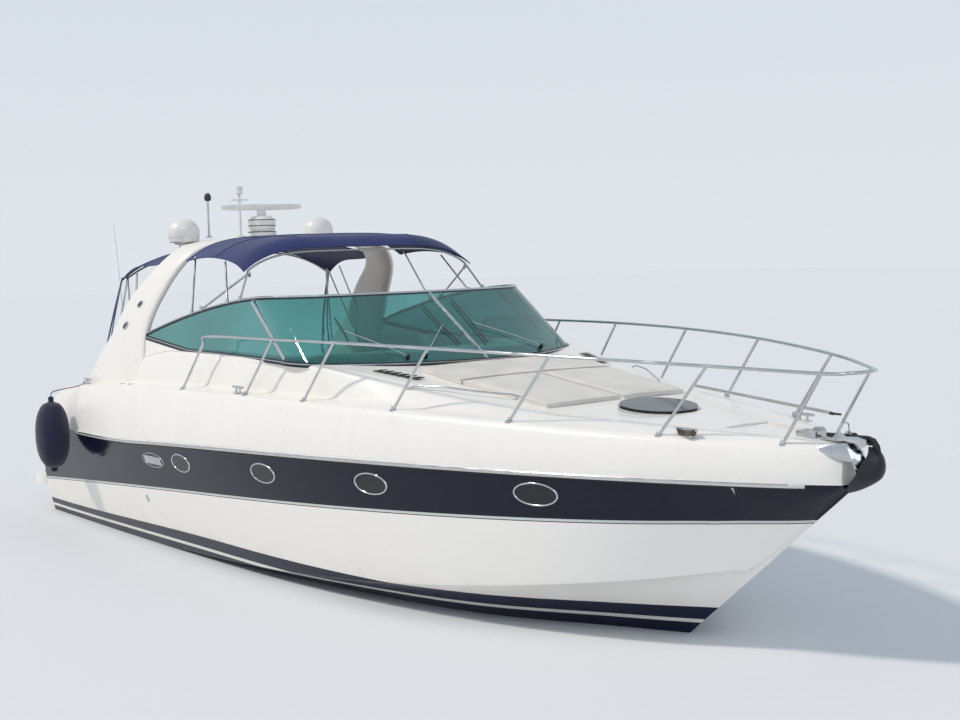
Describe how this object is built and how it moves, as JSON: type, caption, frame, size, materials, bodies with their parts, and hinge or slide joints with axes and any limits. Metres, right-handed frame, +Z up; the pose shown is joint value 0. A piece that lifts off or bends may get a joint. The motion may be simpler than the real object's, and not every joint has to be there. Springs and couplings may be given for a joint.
{
  "type": "sports motor cruiser",
  "caption": "Open motor cruiser with raked arch, canvas canopies, wraparound windscreen, bow rail and twin shaft drive, afloat.",
  "frame": {"origin": "on the centreline at the waterline, midway between the hull's ends", "axes": "+X towards the bow, +Y to port, +Z up"},
  "size_m": [12.814, 4.414, 5.2113],
  "materials": {
    "hull_gelcoat": "gloss",
    "white_gelcoat": "gloss",
    "rub_rail_vinyl": "satin",
    "teak_deck": "satin",
    "engine_paint": "satin",
    "polished_stainless": "polished",
    "tinted_glass": "polished",
    "dome_plastic": "satin",
    "dark_fitting": "matte",
    "navy_canvas": "matte",
    "beige_vinyl": "satin",
    "white_vinyl": "satin",
    "dark_acrylic": "gloss",
    "galvanised_steel": "matte",
    "leather_black": "satin",
    "bronze": "satin",
    "fender_cover": "matte",
    "anodised_aluminium": "satin"
  },
  "bodies": {
    "boat": {"aerial_pole": "dark_fitting", "anchor": "galvanised_steel", "boathook": "anodised_aluminium", "bow_rail": "polished_stainless", "bow_roller": "polished_stainless", "canopy_aft": "navy_canvas", "canopy_frame": "polished_stainless", "canopy_front": "navy_canvas", "cockpit_cushions": "white_vinyl", "cockpit_seat": "white_gelcoat", "cockpit_sole": "teak_deck", "cockpit_table": "white_gelcoat", "deck_moulding": "white_gelcoat", "engine_port": "engine_paint", "engine_starboard": "engine_paint", "fender": "fender_cover", "hatch_frame": "polished_stainless", "helm_console": "white_gelcoat", "helm_cushion": "white_vinyl", "helm_seat": "white_gelcoat", "hull": "hull_gelcoat", "light_mast": "dark_fitting", "mooring_cleats": "polished_stainless", "port_panes": "dark_acrylic", "port_rims": "polished_stainless", "radar_arch": "white_gelcoat", "radar_pedestal": "dome_plastic", "rub_rail": "rub_rail_vinyl", "satellite_dome_port": "dome_plastic", "satellite_dome_starboard": "dome_plastic", "shaft_brackets": "bronze", "stem_plate": "polished_stainless", "sunpad_head": "beige_vinyl", "sunpad_port": "beige_vinyl", "sunpad_starboard": "beige_vinyl", "swim_platform": "white_gelcoat", "trim_tabs": "polished_stainless", "windlass": "polished_stainless", "windscreen_frame": "polished_stainless", "windscreen_glass": "tinted_glass"},
    "propeller_port": {"propeller_port": "bronze", "shaft_port": "polished_stainless"},
    "propeller_starboard": {"propeller_starboard": "bronze", "shaft_starboard": "polished_stainless"},
    "rudder_port": {"rudder_port": "bronze"},
    "rudder_starboard": {"rudder_starboard": "bronze"},
    "radar_scanner": {"radar_scanner": "dome_plastic"},
    "engine_hatch": {"engine_hatch": "teak_deck"},
    "foredeck_hatch": {"foredeck_hatch": "dark_acrylic"},
    "anchor_locker_lid": {"anchor_locker_lid": "white_gelcoat"},
    "companionway_door": {"companionway_door": "dark_acrylic"},
    "transom_gate": {"transom_gate": "white_gelcoat"},
    "helm_wheel": {"helm_wheel": "leather_black"}
  },
  "joints": [
    {"name": "propeller_port_spin", "type": "hinge", "parent": "boat", "child": "propeller_port", "pos_m": [-4.95, 0.56, -0.84], "axis": [0.9903, 0, 0.1392], "continuous": true},
    {"name": "propeller_starboard_spin", "type": "hinge", "parent": "boat", "child": "propeller_starboard", "pos_m": [-4.95, -0.56, -0.84], "axis": [0.9903, 0, 0.1392], "continuous": true},
    {"name": "rudder_port_turn", "type": "hinge", "parent": "boat", "child": "rudder_port", "pos_m": [-5.5, 0.58, -0.7], "axis": [0, 0, 1], "range_deg": [-35, 35]},
    {"name": "rudder_starboard_turn", "type": "hinge", "parent": "boat", "child": "rudder_starboard", "pos_m": [-5.5, -0.58, -0.7], "axis": [0, 0, 1], "range_deg": [-35, 35]},
    {"name": "radar_scanner_spin", "type": "hinge", "parent": "boat", "child": "radar_scanner", "pos_m": [-3.07, 0, 3.82], "axis": [0, 0, 1], "continuous": true},
    {"name": "engine_hatch_lift", "type": "hinge", "parent": "boat", "child": "engine_hatch", "pos_m": [-2.7, 0.275, 1.05], "axis": [0, 1, 0], "range_deg": [0, 80]},
    {"name": "foredeck_hatch_lift", "type": "hinge", "parent": "boat", "child": "foredeck_hatch", "pos_m": [4.1899, 0, 1.8808], "axis": [0, 1, 0], "range_deg": [0, 75]},
    {"name": "anchor_locker_lift", "type": "hinge", "parent": "boat", "child": "anchor_locker_lid", "pos_m": [4.9, 0, 1.8069], "axis": [0, -1, 0], "range_deg": [0, 80]},
    {"name": "companionway_slide", "type": "slide", "parent": "boat", "child": "companionway_door", "axis": [0, 1, 0], "range_m": [0, 0.54]},
    {"name": "transom_gate_swing", "type": "hinge", "parent": "boat", "child": "transom_gate", "pos_m": [-4.892, 0.722, 1.3], "axis": [0, 0, 1], "range_deg": [-90, 0]},
    {"name": "helm_wheel_turn", "type": "hinge", "parent": "boat", "child": "helm_wheel", "pos_m": [-0.3, -0.72, 1.9], "axis": [-0.9063, 0, 0.4226], "range_deg": [-540, 540]}
  ],
  "couplings": [
    {"joint": "rudder_starboard_turn", "follows": "rudder_port_turn", "ratio": 1}
  ]
}
